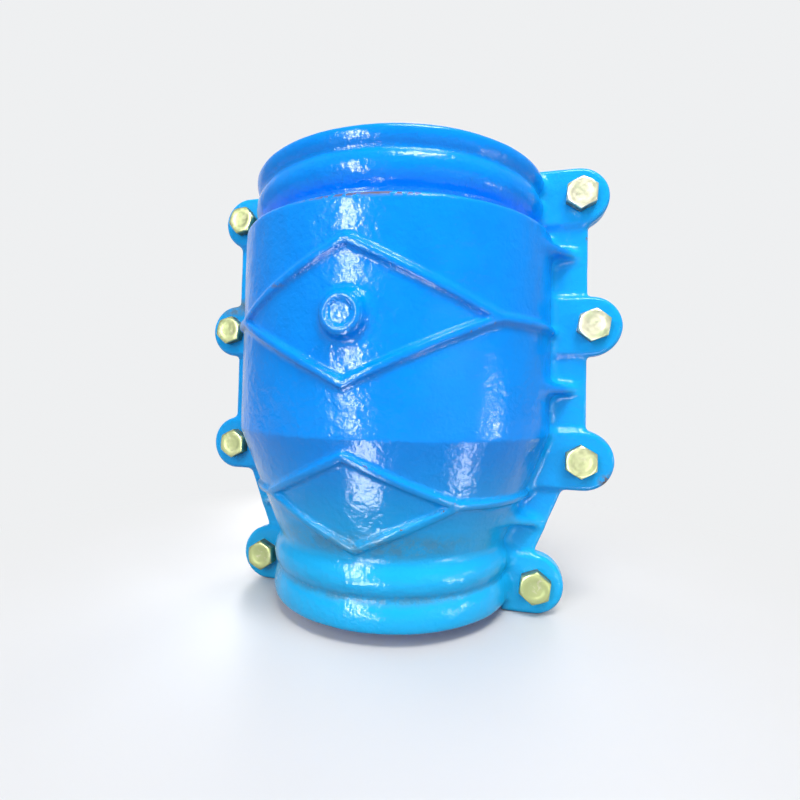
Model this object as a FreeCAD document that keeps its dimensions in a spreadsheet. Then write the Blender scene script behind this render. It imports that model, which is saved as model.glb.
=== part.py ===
import FreeCAD, Part
import math
import os
import re

import Sketcher

# A split repair clamp that joins a wide pipe to a narrow one. Two cast half shells close round
# the pipes and are held by eight bolts along their side flanges, four on each side. A rubber
# seal lies in each half: a half ring at each end, and a strip down each split face.
# Millimetres. Z is the pipe axis with the wide end up, X runs across the flanges, the bolt heads
# are on the -Y side, and Z = 0 is the lowest edge of the end ears.

# Driving sizes. Each is set by itself, and everything else follows from them.
SIZES = (
    # pipes and seals
    ("wide_pipe_radius", 100.0),
    ("narrow_pipe_radius", 80.0),
    ("bore_gap", 2.0),
    ("seal_thickness", 5.5),
    ("seal_width", 24.0),
    ("seal_fit", 0.1),
    ("seal_inset", 6.0),
    ("seal_rib_gap", 3.0),
    ("strip_width", 3.2),
    ("strip_depth", 3.0),
    # casting
    ("body_length", 312.0),
    ("body_radius", 120.0),
    ("wall", 8.0),
    ("wide_collar_wall", 8.5),
    ("narrow_collar_wall", 6.5),
    ("wide_collar_length", 44.0),
    ("shoulder_round", 3.0),
    ("neck_inset", 7.0),
    ("narrow_collar_length", 41.0),
    ("narrow_neck_inset", 2.4),
    ("crease_height", 123.0),
    ("lip_round", 3.5),
    ("band_sag", 2.6),
    ("band_gap", 3.4),
    # flange and ears
    ("flange_width", 25.0),
    ("flange_thickness", 4.5),
    ("flange_round", 2.5),
    ("ear_thickness", 8.0),
    ("ear_half_width", 22.0),
    ("end_ear_overhang", 9.0),
    ("end_ear_stop", 5.0),
    # bolt rows from the top down: how far each bolt is beyond the wall beside it, how far the
    # ear's round end is centred inside its bolt, and the height of the middle two rows
    ("bolt_one_reach", 19.5),
    ("bolt_two_reach", 28.5),
    ("bolt_three_reach", 21.0),
    ("bolt_four_reach", 18.5),
    ("ear_one_inset", 2.0),
    ("ear_two_inset", 1.5),
    ("ear_three_inset", -1.3),
    ("ear_four_inset", 1.8),
    ("bolt_two_height", 212.0),
    ("bolt_three_height", 114.0),
    # raised work on the front of each casting
    ("rib_width", 5.5),
    ("rib_height", 3.0),
    ("upper_diamond_height", 206.5),
    ("upper_diamond_half_width", 88.0),
    ("upper_diamond_half_height", 42.5),
    ("upper_tail_drop", 0.0),
    ("lower_diamond_height", 91.0),
    ("lower_diamond_half_width", 64.5),
    ("lower_diamond_half_height", 30.5),
    ("lower_tail_drop", 3.0),
    ("boss_height", 204.5),
    ("boss_rise", 8.0),
    ("boss_face_radius", 13.2),
    ("boss_base_radius", 16.0),
    ("boss_ring_depth", 1.2),
    ("boss_ring_width", 3.0),
    # webs between the body and the flange
    ("web_thickness", 6.5),
    ("web_nose_rise", 0.5),
    ("web_margin", 8.0),
    ("web_depth", 45.0),
    ("top_web_height", 263.0),
    ("middle_web_height", 165.5),
    ("bottom_web_height", 71.0),
    # fasteners
    ("thread_radius", 7.0),
    ("thread_fit", 0.05),
    ("bolt_hole_gap", 0.75),
    ("wrench_size", 21.0),
    ("head_height", 8.8),
    ("bolt_length", 50.0),
    ("hex_chamfer", 1.2),
    ("tip_chamfer", 1.4),
    ("nut_height", 11.0),
    ("washer_radius", 14.0),
    ("washer_thickness", 2.5),
    ("washer_hole_gap", 0.5),
)
NAMES = [name for name, number in SIZES]

# Heights and radii that follow from the driving sizes.
NARROW_FACE = "end_ear_overhang"
WIDE_FACE = "end_ear_overhang + body_length"
WIDE_LIP = "(wide_pipe_radius + seal_thickness + wide_collar_wall)"
NARROW_LIP = "(narrow_pipe_radius + seal_thickness + narrow_collar_wall)"
SHOULDER = "(end_ear_overhang + body_length - wide_collar_length)"
CREASE = "(end_ear_overhang + crease_height)"
CONE_FOOT = "(end_ear_overhang + narrow_collar_length + 8)"
CONE_FOOT_RADIUS = f"({NARROW_LIP} - 1.8)"
CONE_SLOPE = f"((body_radius - {CONE_FOOT_RADIUS}) / ({CREASE} - {CONE_FOOT}))"
CONE_WALL = f"(wall * sqrt(1 + {CONE_SLOPE} * {CONE_SLOPE}))"
WIDE_BORE = "(wide_pipe_radius + bore_gap)"
NARROW_BORE = "(narrow_pipe_radius + bore_gap)"
WIDE_SEAL_TOP = f"({WIDE_FACE} - seal_inset)"
NARROW_SEAL_FOOT = f"({NARROW_FACE} + seal_inset)"
FLANGE_EDGE = "(body_radius + flange_width)"

# The bolt rows from the top down: the row's name, its distance from the axis, its height, and how
# far the ears' round ends are centred inside their bolts.
TOP_HEIGHT = f"({WIDE_FACE} + end_ear_overhang - ear_half_width)"
ROWS = (
    ("top", "(body_radius + bolt_one_reach)", TOP_HEIGHT, "ear_one_inset"),
    ("upper", "(body_radius + bolt_two_reach)", "bolt_two_height", "ear_two_inset"),
    ("lower", "(body_radius + bolt_three_reach)", "bolt_three_height", "ear_three_inset"),
    ("bottom", f"({NARROW_LIP} + bolt_four_reach)", "ear_half_width", "ear_four_inset"),
)
SIDES = (("right", 1), ("left", -1))

# How far each hexagon is turned from point-up, as tightened by hand, in degrees.
HEAD_TURNS = {"top_right": 4, "upper_right": 9, "lower_right": 0, "bottom_right": 8,
              "top_left": 22, "upper_left": 12, "lower_left": 3, "bottom_left": -4}

doc = FreeCAD.newDocument("repair_clamp")
sheet = doc.addObject("Spreadsheet::Sheet", "sizes")
for row, (name, number) in enumerate(SIZES, start=1):
    sheet.set(f"A{row}", name)
    sheet.set(f"B{row}", str(number))
    sheet.setAlias(f"B{row}", name)
doc.recompute()


def bound(text):
    """The expression with each size written as the spreadsheet's own."""
    return re.sub(r"[a-z_]+", lambda m: f"sizes.{m[0]}" if m[0] in NAMES else m[0], text)


def value(text):
    return float(sheet.evalExpression(text))


def plane(body, role):
    return next(part for part in body.Origin.OriginFeatures if part.Role == role)


def new_body(label):
    body = doc.addObject("PartDesign::Body", label)
    body.Label = label
    return body


def new_sketch(body, role, name):
    sketch = body.newObject("Sketcher::SketchObject", name)
    sketch.AttachmentSupport = (plane(body, role), [""])
    sketch.MapMode = "FlatFace"
    return sketch


def free_sketch(name, placement):
    sketch = doc.addObject("Sketcher::SketchObject", name)
    sketch.Placement = placement
    return sketch


def pin(sketch, geometry, end, across, up):
    """Ties one end of a line to a place given by two expressions."""
    for kind, text in (("DistanceX", across), ("DistanceY", up)):
        index = sketch.addConstraint(Sketcher.Constraint(kind, -1, 1, geometry, end, value(text)))
        sketch.setExpression(f"Constraints[{index}]", bound(text))


def bow(start, end, radius):
    """The short arc from start to end, bulging to the left of the way for a positive radius."""
    middle = (start + end) / 2
    way = end - start
    side = FreeCAD.Vector(-way.y, way.x, 0).normalize() * math.copysign(1, radius)
    reach = math.sqrt(radius ** 2 - (way.Length / 2) ** 2)
    crown = middle + side * (abs(radius) - reach)
    return Part.Arc(start, crown, end)


def outline(sketch, corners):
    """A closed line through the corners. Each is (across, up) or (across, up, arc radius), where
    the radius is that of the arc to the next corner, positive to bulge to the left of the way."""
    places = [FreeCAD.Vector(value(c[0]), value(c[1]), 0) for c in corners]
    for number, corner in enumerate(corners):
        start, end = places[number], places[(number + 1) % len(corners)]
        after = corners[(number + 1) % len(corners)]
        if len(corner) == 2:
            line = sketch.addGeometry(Part.LineSegment(start, end), False)
            pin(sketch, line, 1, *corner[:2])
            pin(sketch, line, 2, *after[:2])
            continue
        arc = sketch.addGeometry(bow(start, end, value(corner[2])), False)
        first = 1 if sketch.getPoint(arc, 1).isEqual(start, 1e-6) else 2
        pin(sketch, arc, first, *corner[:2])
        pin(sketch, arc, 3 - first, *after[:2])
        size = f"abs({corner[2]})"
        index = sketch.addConstraint(Sketcher.Constraint("Radius", arc, value(size)))
        sketch.setExpression(f"Constraints[{index}]", bound(size))


def ring(sketch, across, up, radius):
    """A circle whose centre and radius are expressions."""
    centre = FreeCAD.Vector(value(across), value(up), 0)
    circle = sketch.addGeometry(Part.Circle(centre, FreeCAD.Vector(0, 0, 1), value(radius)), False)
    pin(sketch, circle, 3, across, up)
    index = sketch.addConstraint(Sketcher.Constraint("Radius", circle, value(radius)))
    sketch.setExpression(f"Constraints[{index}]", bound(radius))


def pad(body, sketch, length, midplane=False):
    feature = body.newObject("PartDesign::Pad", sketch.Name + "_pad")
    feature.Profile = sketch
    feature.setExpression("Length", bound(length))
    feature.Midplane = midplane
    return feature


def turned(body, kind, sketch, axis, angle=360.0, reverse=False):
    """A Revolution or Groove of the sketch round one of its axes."""
    feature = body.newObject(f"PartDesign::{kind}", f"{sketch.Name}_{kind.lower()}")
    feature.Profile = sketch
    feature.ReferenceAxis = (sketch, [axis])
    feature.Angle = angle
    feature.Reversed = reverse
    return feature


def rounded(body, base, edges, radius):
    feature = body.newObject("PartDesign::Fillet", base.Name + "_round")
    feature.Base = (base, edges)
    feature.setExpression("Radius", bound(radius))
    return feature


def front_edges(shape, depth, test):
    """Names of the edges that lie in the plane Y = -depth and pass the test."""
    return [f"Edge{number}" for number, edge in enumerate(shape.Edges, start=1)
            if all(abs(end.Point.y + depth) < 1e-4 for end in edge.Vertexes) and test(edge)]


def is_flange_side(edge):
    """A straight edge that climbs, outside the wall of the body."""
    climbs = edge.Curve.TypeId == "Part::GeomLine" and abs(edge.tangentAt(edge.FirstParameter).z) > 0.1
    return climbs and max(abs(end.X) for end in edge.Vertexes) > value("body_radius") + 1


def is_ear_rim(edge):
    """A round end of an ear, or the level edge that runs in from it."""
    if edge.Curve.TypeId == "Part::GeomCircle":
        return abs(edge.Curve.Radius - value("ear_half_width")) < 1e-3
    levels = [value(f"{height} {sign} ear_half_width") for row, reach, height, inset in ROWS
              for sign in "+-"]
    return edge.Curve.TypeId == "Part::GeomLine" and any(
        all(abs(end.Z - level) < 1e-3 for end in edge.Vertexes) for level in levels)


def casing_corners():
    """The outside of the casting from its foot to its top, closed along the pipe axis."""
    low, high, crease = NARROW_FACE, WIDE_FACE, CREASE
    neck = f"({WIDE_LIP} - neck_inset)"
    return (
        ("0", low),
        (f"{NARROW_LIP} - lip_round", low, "-lip_round"),
        (f"{NARROW_LIP} - 0.3", f"{low} + lip_round * 0.9", "-26"),
        (f"{NARROW_LIP} - band_sag", f"{low} + 19", "2.2"),
        (f"{NARROW_LIP} - band_sag", f"{low} + 19 + band_gap", "-15.5"),
        (f"{NARROW_LIP} - narrow_neck_inset", f"{low} + narrow_collar_length", "8"),
        (CONE_FOOT_RADIUS, CONE_FOOT),
        ("body_radius", crease),
        ("body_radius", f"{SHOULDER} - shoulder_round", "-shoulder_round"),
        ("body_radius - shoulder_round", SHOULDER),
        (f"{neck} + 2.5", SHOULDER, "2.5"),
        (neck, f"{SHOULDER} + 2.5"),
        (neck, f"{SHOULDER} + 6"),
        (f"{neck} + 1.5", f"{SHOULDER} + 8", "-17"),
        (f"{WIDE_LIP} - band_sag", f"{high} - 15.4", "2.2"),
        (f"{WIDE_LIP} - band_sag", f"{high} - 15.4 + band_gap", "-14"),
        (f"{WIDE_LIP} - 0.3", f"{high} - lip_round * 0.9", "-lip_round"),
        (f"{WIDE_LIP} - lip_round", high),
        ("0", high),
    )


def core_corners():
    """The hollow inside: end bores, seal grooves, cone and main chamber, and the end ears' stop."""
    wide_stop = f"{WIDE_LIP} - end_ear_stop"
    narrow_stop = f"{NARROW_LIP} - end_ear_stop"
    wide_seat = "wide_pipe_radius + seal_thickness"
    narrow_seat = "narrow_pipe_radius + seal_thickness"
    chamber = "body_radius - wall"
    foot = f"{CONE_FOOT} + ({NARROW_BORE} + {CONE_WALL} - {CONE_FOOT_RADIUS}) / {CONE_SLOPE}"
    return (
        ("0", "-end_ear_overhang"),
        (narrow_stop, "-end_ear_overhang"),
        (narrow_stop, NARROW_FACE),
        (NARROW_BORE, NARROW_FACE),
        (NARROW_BORE, NARROW_SEAL_FOOT),
        (narrow_seat, NARROW_SEAL_FOOT),
        (narrow_seat, f"{NARROW_SEAL_FOOT} + seal_width"),
        (NARROW_BORE, f"{NARROW_SEAL_FOOT} + seal_width"),
        (NARROW_BORE, foot),
        (chamber, f"{CREASE} + ({CONE_WALL} - wall) / {CONE_SLOPE}"),
        (chamber, f"{SHOULDER} - wall"),
        (WIDE_BORE, f"{SHOULDER} - wall / 2"),
        (WIDE_BORE, f"{WIDE_SEAL_TOP} - seal_width"),
        (wide_seat, f"{WIDE_SEAL_TOP} - seal_width"),
        (wide_seat, WIDE_SEAL_TOP),
        (WIDE_BORE, WIDE_SEAL_TOP),
        (WIDE_BORE, WIDE_FACE),
        (wide_stop, WIDE_FACE),
        (wide_stop, f"{WIDE_FACE} + 2 * end_ear_overhang"),
        ("0", f"{WIDE_FACE} + 2 * end_ear_overhang"),
    )


def strip_corners(side, slack):
    """The seal strip down one split face, from ring to ring inside the wall, grown by slack."""
    half = f"(strip_width / 2 + {slack})"
    narrow = f"({NARROW_BORE} + strip_width / 2 + 0.6)"
    body = "(body_radius - wall / 2)"
    wide = f"({WIDE_BORE} + strip_width / 2 + 0.6)"
    bend_low = f"({CONE_FOOT} + 3)"
    bend_high = f"({CREASE} + 3)"
    turn = f"({SHOULDER} - 4)"
    way = (
        (narrow, f"({NARROW_SEAL_FOOT} + seal_width - 2)"),
        (narrow, bend_low),
        (body, bend_high),
        (body, turn),
        (wide, turn),
        (wide, f"({WIDE_SEAL_TOP} - seal_width + 2)"),
    )
    inner = [(f"{side} * ({x} - {half})", z) for x, z in way]
    outer = [(f"{side} * ({x} + {half})", z) for x, z in way]
    inner[3] = (inner[3][0], f"{turn} - {half}")
    inner[4] = (inner[4][0], f"{turn} - {half}")
    outer[3] = (outer[3][0], f"{turn} + {half}")
    outer[4] = (outer[4][0], f"{turn} + {half}")
    return inner + outer[::-1] if side > 0 else outer + inner[::-1]


def flange_corners():
    """Plan of the flanges, drawn right across the blank and opened later by the core: straight
    beside the body, then following the cone down to the foot."""
    foot, top = "ear_half_width", f"{WIDE_FACE} - ear_half_width"
    foot_reach = f"({CONE_FOOT_RADIUS} + flange_width - {CONE_SLOPE} * ({CONE_FOOT} - {foot}))"
    return (
        (f"-{foot_reach}", foot),
        (foot_reach, foot),
        (FLANGE_EDGE, CREASE),
        (FLANGE_EDGE, top),
        (f"-{FLANGE_EDGE}", top),
        (f"-{FLANGE_EDGE}", CREASE),
    )


def ear_corners(reach, height, inset):
    """One pair of ears as a long bar with round ends, drawn right across the blank."""
    centre = f"({reach} - {inset})"
    tip = f"({centre} + ear_half_width)"
    low, high = f"{height} - ear_half_width", f"{height} + ear_half_width"
    return (
        (f"-{centre}", low),
        (centre, low, "-ear_half_width"),
        (tip, height, "-ear_half_width"),
        (centre, high),
        (f"-{centre}", high, "-ear_half_width"),
        (f"-{tip}", height, "-ear_half_width"),
    )


def web_corners(side, wall_radius):
    """Plan of one web: from the wall, sloping out to a rounded nose on the flange."""
    nose = f"({wall_radius} + flange_width - web_margin)"
    return (
        (f"{side} * ({wall_radius} - wall + 1)", "0"),
        (f"{side} * {nose}", "0"),
        (f"{side} * {nose}", "-flange_thickness - web_nose_rise", f"{-side} * 60"),
        (f"{side} * {wall_radius} * 0.93", "-web_depth"),
        (f"{side} * ({wall_radius} * 0.93 - wall)", "-web_depth"),
    )


def cone_radius(height):
    """Outer radius of the casting at a height on the cone or the straight body."""
    return f"min(body_radius; {CONE_FOOT_RADIUS} + {CONE_SLOPE} * ({height} - {CONE_FOOT}))"


def make_casting():
    """The casting without its raised lines: turned blank, flange, ears, webs, boss, then the core."""
    body = new_body("casting")
    casing = new_sketch(body, "XZ_Plane", "casing")
    outline(casing, casing_corners())
    turned(body, "Revolution", casing, "V_Axis", 180.0, True)

    flange = new_sketch(body, "XZ_Plane", "flange")
    outline(flange, flange_corners())
    flange_pad = pad(body, flange, "flange_thickness")
    doc.recompute()
    sides = front_edges(flange_pad.Shape, value("flange_thickness"), is_flange_side)
    rounded(body, flange_pad, sides, "flange_round")

    ears = new_sketch(body, "XZ_Plane", "ears")
    for row, reach, height, inset in ROWS:
        outline(ears, ear_corners(reach, height, inset))
    ears_pad = pad(body, ears, "ear_thickness")
    doc.recompute()
    rims = front_edges(ears_pad.Shape, value("ear_thickness"), is_ear_rim)
    rounded(body, ears_pad, rims, "(ear_thickness - flange_thickness) * 0.9")

    for name, height in (("top", "top_web_height"), ("middle", "middle_web_height"),
                         ("bottom", "bottom_web_height")):
        web = new_sketch(body, "XY_Plane", f"{name}_web")
        web.setExpression("AttachmentOffset.Base.z", bound(height))
        for side_name, side in SIDES:
            outline(web, web_corners(side, cone_radius(height)))
        pad(body, web, "web_thickness", midplane=True)

    boss = new_sketch(body, "YZ_Plane", "boss")
    face = "(-body_radius - boss_rise)"
    outline(boss, (
        ("-body_radius + wall / 2", "boss_height"),
        ("-body_radius + wall / 2", "boss_height + boss_base_radius"),
        ("-body_radius", "boss_height + boss_base_radius"),
        (f"{face} + 1.5", "boss_height + boss_face_radius", "-1.5"),
        (face, "boss_height + boss_face_radius - 1.5"),
        (face, "boss_height + boss_face_radius - 1.5 - boss_ring_width"),
        (f"{face} + boss_ring_depth", "boss_height + boss_face_radius - 2.5 - boss_ring_width"),
        (f"{face} + boss_ring_depth", "boss_height"),
    ))
    spindle = boss.addGeometry(Part.LineSegment(
        FreeCAD.Vector(0, value("boss_height"), 0), FreeCAD.Vector(-50, value("boss_height"), 0)), True)
    pin(boss, spindle, 1, "0", "boss_height")
    pin(boss, spindle, 2, "-50", "boss_height")
    turned(body, "Revolution", boss, "Axis0")

    core = new_sketch(body, "XZ_Plane", "core")
    outline(core, core_corners())
    turned(body, "Groove", core, "V_Axis")

    slots = new_sketch(body, "XZ_Plane", "strip_slots")
    for name, side in SIDES:
        outline(slots, strip_corners(side, "seal_fit"))
    cut = body.newObject("PartDesign::Pocket", "strip_slots_pocket")
    cut.Profile = slots
    cut.setExpression("Length", bound("strip_depth + seal_fit"))
    cut.Reversed = True

    holes = new_sketch(body, "XZ_Plane", "bolt_holes")
    for name, side in SIDES:
        for row, reach, height, inset in ROWS:
            ring(holes, f"{side} * {reach}", height, "thread_radius + bolt_hole_gap")
    drill = body.newObject("PartDesign::Pocket", "bolt_holes_pocket")
    drill.Profile = holes
    drill.setExpression("Length", bound("ear_thickness"))
    drill.Reversed = True
    return body


def diamond_lines(sketch, height, half_width, half_height):
    """A diamond frame whose centre line has the given half sizes."""
    grow = f"(rib_width / 2 * sqrt(1 + ({half_height} / {half_width}) * ({half_height} / {half_width})))"
    for sign in (1, -1):
        tall = f"({half_height} + {sign} * {grow})"
        wide = f"({tall} * {half_width} / {half_height})"
        outline(sketch, (
            ("0", f"{height} + {tall}"),
            (wide, height),
            ("0", f"{height} - {tall}"),
            (f"-{wide}", height),
        ))


def tail_corners(side, half_width, height, drop):
    """The line that runs on from a diamond's side corner to the flange, a little lower there."""
    start, end = f"{side} * ({half_width} - rib_width / 2)", f"{side} * (body_radius + rib_height)"
    return (
        (start, f"{height} - rib_width / 2"),
        (end, f"{height} - {drop} - rib_width / 2"),
        (end, f"{height} - {drop} + rib_width / 2"),
        (start, f"{height} + rib_width / 2"),
    )


def make_raised_lines():
    """The raised diamonds with the lines that run on to the flange, moulded on the wall."""
    upright = FreeCAD.Placement(FreeCAD.Vector(), FreeCAD.Rotation(FreeCAD.Vector(1, 0, 0), 90))
    skin_sketch = free_sketch("rib_skin", upright)
    below = f"({CONE_FOOT} - 4)"
    below_radius = f"({CONE_FOOT_RADIUS} - 4 * {CONE_SLOPE})"
    outline(skin_sketch, (
        (f"{below_radius} - 1", below),
        (f"{below_radius} + rib_height", below),
        ("body_radius + rib_height", CREASE),
        ("body_radius + rib_height", f"{SHOULDER} - shoulder_round"),
        ("body_radius - 1", f"{SHOULDER} - shoulder_round"),
        ("body_radius - 1", CREASE),
    ))
    skin = doc.addObject("Part::Revolution", "rib_skin_turned")
    skin.Source = skin_sketch
    skin.Axis = FreeCAD.Vector(0, 0, 1)
    skin.Base = FreeCAD.Vector()
    skin.Angle = -180.0
    skin.Solid = True
    made = []
    for name in ("upper", "lower"):
        height, drop = f"{name}_diamond_height", f"{name}_tail_drop"
        half_width, half_height = f"{name}_diamond_half_width", f"{name}_diamond_half_height"
        frame = free_sketch(f"{name}_diamond", upright)
        diamond_lines(frame, height, half_width, half_height)
        tails = free_sketch(f"{name}_tails", upright)
        for side_name, side in SIDES:
            outline(tails, tail_corners(side, half_width, height, drop))
        blocks = []
        for drawn in (frame, tails):
            block = doc.addObject("Part::Extrusion", drawn.Name + "_block")
            block.Base = drawn
            block.DirMode = "Custom"
            block.Dir = FreeCAD.Vector(0, -1, 0)
            block.setExpression("LengthFwd", bound("body_radius + 2 * rib_height"))
            block.Solid = True
            blocks.append(block)
        whole = doc.addObject("Part::MultiFuse", f"{name}_blocks")
        whole.Shapes = blocks
        line = doc.addObject("Part::MultiCommon", f"{name}_line")
        line.Shapes = [whole, skin]
        made.append(line)
    return made


def make_front_shell():
    """The front casting with its raised lines."""
    casting = make_casting()
    lines = make_raised_lines()
    front = doc.addObject("Part::MultiFuse", "front_shell")
    front.Label = "front_shell"
    front.Shapes = [casting] + lines
    front.Refine = True
    return front


def half_turn(source, label):
    """The same piece turned half way round the pipe axis."""
    copy = doc.addObject("Part::Compound", label)
    copy.Label = label
    copy.Links = [source]
    copy.Placement = FreeCAD.Placement(FreeCAD.Vector(), FreeCAD.Rotation(FreeCAD.Vector(0, 0, 1), 180))
    return copy


def seal_corners(pipe_radius, foot):
    """Section of a half ring: flat back, chamfered lips and two shallow grooves in its face."""
    back = f"{pipe_radius} + seal_thickness - seal_fit"
    low, high = f"({foot} + seal_fit)", f"({foot} + seal_width - seal_fit)"
    face = pipe_radius
    dip = f"{pipe_radius} + 1.2"
    third = "(seal_width / 3)"
    return (
        (back, low),
        (back, high),
        (f"{face} + 1.5", high),
        (face, f"{high} - 1.5"),
        (face, f"{foot} + 2 * {third} + seal_rib_gap / 2"),
        (dip, f"{foot} + 2 * {third} + seal_rib_gap / 4"),
        (dip, f"{foot} + 2 * {third} - seal_rib_gap / 4"),
        (face, f"{foot} + 2 * {third} - seal_rib_gap / 2"),
        (face, f"{foot} + {third} + seal_rib_gap / 2"),
        (dip, f"{foot} + {third} + seal_rib_gap / 4"),
        (dip, f"{foot} + {third} - seal_rib_gap / 4"),
        (face, f"{foot} + {third} - seal_rib_gap / 2"),
        (face, f"{low} + 1.5"),
        (f"{face} + 1.5", low),
    )


def make_gasket():
    """One moulded rubber frame: a half ring at each end, joined by a strip down each side."""
    body = new_body("front_gasket")
    for name, radius, foot in (("wide", "wide_pipe_radius", f"({WIDE_SEAL_TOP} - seal_width)"),
                               ("narrow", "narrow_pipe_radius", NARROW_SEAL_FOOT)):
        if name == "narrow":
            strips = new_sketch(body, "XZ_Plane", "seal_strips")
            for side_name, side in SIDES:
                outline(strips, strip_corners(side, "0"))
            pad(body, strips, "strip_depth")
        section = new_sketch(body, "XZ_Plane", f"{name}_seal")
        outline(section, seal_corners(radius, foot))
        turned(body, "Revolution", section, "V_Axis", 180.0, True)
    return body


def hexagon(sketch):
    """A hexagon with one corner up, across flats equal to the wrench size."""
    corner, flat = "wrench_size / sqrt(3)", "wrench_size / 2"
    outline(sketch, (
        ("0", corner), (f"-{flat}", f"{corner} / 2"), (f"-{flat}", f"-{corner} / 2"),
        ("0", f"-({corner})"), (flat, f"-{corner} / 2"), (flat, f"{corner} / 2"),
    ))


def chamfer_ring(body, name, face, sign):
    """Turns the corners off a hexagon's end face at 30 degrees."""
    sketch = new_sketch(body, "XZ_Plane", name)
    far = "(wrench_size / sqrt(3) + 1)"
    near = "(wrench_size / 2 - hex_chamfer / 2)"
    outline(sketch, (
        (near, face),
        (far, face),
        (far, f"{face} - {sign} * ({far} - {near}) * tan(30)"),
    ))
    turned(body, "Groove", sketch, "V_Axis")


def seat(body, side, reach, height, depth, turn):
    """Stands a fastener on its bolt axis, its own Z pointing to the rear, hexagon corner up."""
    body.Placement = FreeCAD.Placement(
        FreeCAD.Vector(0, 0, 0),
        FreeCAD.Rotation(FreeCAD.Vector(0, 1, 0), turn) * FreeCAD.Rotation(FreeCAD.Vector(1, 0, 0), -90))
    body.setExpression("Placement.Base.x", bound(f"{side} * {reach}"))
    body.setExpression("Placement.Base.y", bound(depth))
    body.setExpression("Placement.Base.z", bound(height))


def make_bolt(place, side, reach, height):
    """Hexagon head with its chamfered face to the front, and a shank that ends in a chamfer."""
    body = new_body(f"bolt_{place}")
    head = new_sketch(body, "XY_Plane", f"head_{place}")
    hexagon(head)
    block = pad(body, head, "head_height")
    block.Reversed = True
    chamfer_ring(body, f"head_edge_{place}", "-head_height", -1)
    shank = new_sketch(body, "XZ_Plane", f"shank_{place}")
    outline(shank, (
        ("0", "-head_height / 2"),
        ("thread_radius", "-head_height / 2"),
        ("thread_radius", "bolt_length - tip_chamfer"),
        ("thread_radius - tip_chamfer", "bolt_length"),
        ("0", "bolt_length"),
    ))
    turned(body, "Revolution", shank, "V_Axis")
    seat(body, side, reach, height, "-ear_thickness", HEAD_TURNS[place])
    return body


def make_washer(place, side, reach, height):
    body = new_body(f"washer_{place}")
    sketch = new_sketch(body, "XY_Plane", f"washer_ring_{place}")
    ring(sketch, "0", "0", "washer_radius")
    ring(sketch, "0", "0", "thread_radius + washer_hole_gap")
    pad(body, sketch, "washer_thickness")
    seat(body, side, reach, height, "ear_thickness", 0)
    return body


def make_nut(place, side, reach, height):
    """Hexagon nut chamfered on both faces, bored to the thread with a running fit."""
    body = new_body(f"nut_{place}")
    sketch = new_sketch(body, "XY_Plane", f"nut_hexagon_{place}")
    hexagon(sketch)
    ring(sketch, "0", "0", "thread_radius + thread_fit")
    pad(body, sketch, "nut_height")
    chamfer_ring(body, f"nut_top_{place}", "nut_height", 1)
    chamfer_ring(body, f"nut_foot_{place}", "0", -1)
    seat(body, side, reach, height, "ear_thickness + washer_thickness", -HEAD_TURNS[place])
    return body


front_shell = make_front_shell()
front_gasket = make_gasket()
pieces = [
    front_shell,
    half_turn(front_shell, "rear_shell"),
    front_gasket,
    half_turn(front_gasket, "rear_gasket"),
]
for row, reach, height, inset in ROWS:
    for side_name, side in SIDES:
        place = f"{row}_{side_name}"
        pieces.append(make_bolt(place, side, reach, height))
        pieces.append(make_washer(place, side, reach, height))
        pieces.append(make_nut(place, side, reach, height))
doc.recompute()

for thing in doc.Objects:
    faults = [state for state in thing.State if state in ("Invalid", "Error")]
    if faults:
        raise RuntimeError(f"{thing.Label}: {faults}")
for piece in pieces:
    if piece.Shape.isNull() or not piece.Shape.isValid() or len(piece.Shape.Solids) != 1:
        raise RuntimeError(f"{piece.Label}: {len(piece.Shape.Solids)} solids")

os.makedirs("parts", exist_ok=True)
for piece in pieces:
    piece.Shape.exportStep(f"parts/{piece.Label}.step")
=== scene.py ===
import math

import bpy
import numpy as np
from mathutils import Matrix, Vector, noise


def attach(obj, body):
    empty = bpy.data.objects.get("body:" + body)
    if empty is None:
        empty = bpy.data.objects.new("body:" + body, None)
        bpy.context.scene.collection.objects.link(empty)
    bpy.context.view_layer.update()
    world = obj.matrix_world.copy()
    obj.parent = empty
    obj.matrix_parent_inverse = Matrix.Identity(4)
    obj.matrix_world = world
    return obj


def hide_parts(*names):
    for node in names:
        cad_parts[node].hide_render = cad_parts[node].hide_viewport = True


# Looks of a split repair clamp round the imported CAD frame. The two castings are rebuilt as smooth
# blended surfaces on the CAD solids, with soft roots and edges, and the bolts, washers and nuts as
# stacks of rings with real threads. The seals are the CAD's own meshes with a rubber finish.
# Lengths in the surface functions are millimetres, Blender's own are metres.

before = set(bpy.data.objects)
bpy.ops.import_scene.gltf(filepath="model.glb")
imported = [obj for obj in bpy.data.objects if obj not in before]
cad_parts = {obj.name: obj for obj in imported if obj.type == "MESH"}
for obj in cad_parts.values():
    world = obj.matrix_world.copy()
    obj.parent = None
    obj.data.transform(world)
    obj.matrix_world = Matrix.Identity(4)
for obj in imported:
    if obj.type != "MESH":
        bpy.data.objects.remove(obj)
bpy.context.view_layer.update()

MM = 0.001

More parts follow.
